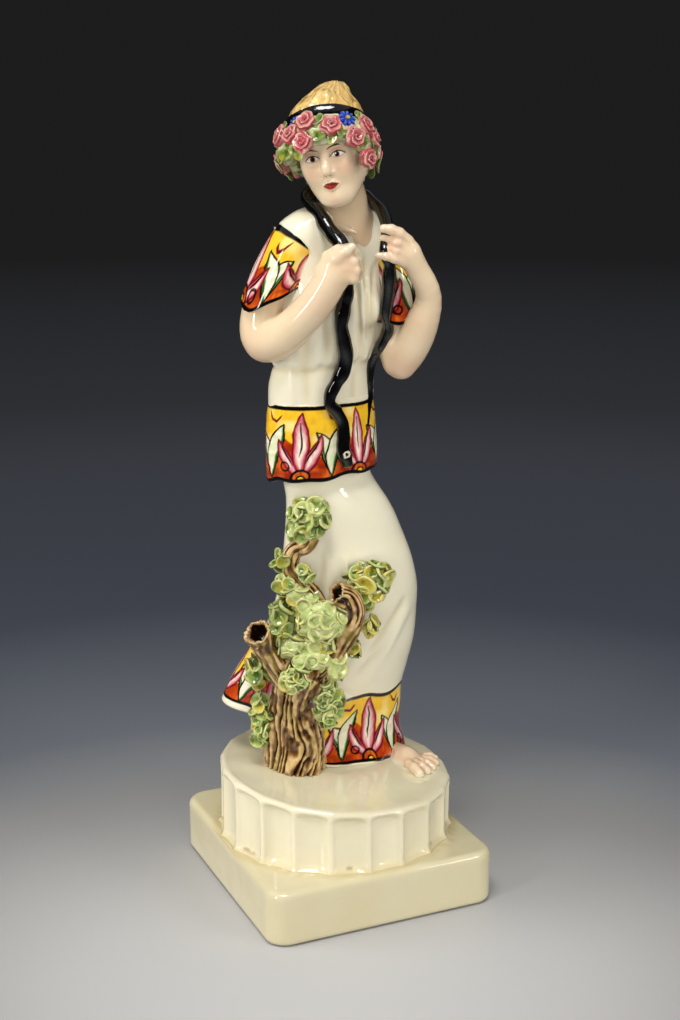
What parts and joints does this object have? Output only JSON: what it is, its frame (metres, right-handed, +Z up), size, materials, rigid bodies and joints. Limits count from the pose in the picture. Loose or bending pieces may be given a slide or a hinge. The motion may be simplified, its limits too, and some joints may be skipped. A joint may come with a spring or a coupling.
{
  "type": "ceramic figurine",
  "caption": "Glazed earthenware figure in a wreath with a long snake round its neck, stepping past a small flowering tree on a fluted drum and square plinth.",
  "frame": {"origin": "centre of the plinth's underside, on the surface it stands on", "axes": "+Z up, +X to the right seen from the plinth's front, the front is towards -Y"},
  "size_m": [0.115, 0.1216, 0.3802],
  "materials": {
    "base_glaze": "clear lead-type glaze, high gloss",
    "robe_glaze": "clear lead-type glaze, high gloss",
    "skin_glaze": "clear lead-type glaze, high gloss",
    "hair_glaze": "clear lead-type glaze, high gloss",
    "black_glaze": "clear lead-type glaze, high gloss",
    "rose_glaze": "clear lead-type glaze, high gloss",
    "blue_glaze": "clear lead-type glaze, high gloss",
    "leaf_glaze": "clear lead-type glaze, high gloss",
    "bark_glaze": "clear lead-type glaze, high gloss"
  },
  "bodies": {
    "root": {"branch_stub": "bark_glaze", "daisy_1": "blue_glaze", "daisy_2": "blue_glaze", "daisy_3": "blue_glaze", "fluted_drum": "base_glaze", "foliage_bend": "leaf_glaze", "foliage_drop": "leaf_glaze", "foliage_foot": "leaf_glaze", "foliage_fork": "leaf_glaze", "foliage_front": "leaf_glaze", "foliage_left": "leaf_glaze", "foliage_low_left": "leaf_glaze", "foliage_low_right": "leaf_glaze", "foliage_middle": "leaf_glaze", "foliage_right": "leaf_glaze", "foliage_sprig": "leaf_glaze", "foliage_top": "leaf_glaze", "foliage_upper_left": "leaf_glaze", "foliage_upper_right": "leaf_glaze", "hair_crown": "hair_glaze", "hair_ribbon": "black_glaze", "head": "skin_glaze", "left_arm": "skin_glaze", "left_foot": "skin_glaze", "left_sleeve": "robe_glaze", "neck_chest": "skin_glaze", "plinth": "base_glaze", "right_arm": "skin_glaze", "right_branch": "bark_glaze", "right_sleeve": "robe_glaze", "rose_01": "rose_glaze", "rose_02": "rose_glaze", "rose_03": "rose_glaze", "rose_04": "rose_glaze", "rose_05": "rose_glaze", "rose_06": "rose_glaze", "rose_07": "rose_glaze", "rose_08": "rose_glaze", "rose_09": "rose_glaze", "rose_10": "rose_glaze", "rose_11": "rose_glaze", "rose_12": "rose_glaze", "rose_13": "rose_glaze", "rose_14": "rose_glaze", "skirt": "robe_glaze", "snake_collar": "black_glaze", "snake_head_length": "black_glaze", "snake_tail_length": "black_glaze", "tree_trunk": "bark_glaze", "tunic": "robe_glaze", "upper_branch": "bark_glaze", "wreath_ring": "leaf_glaze"}
  },
  "joints": []
}
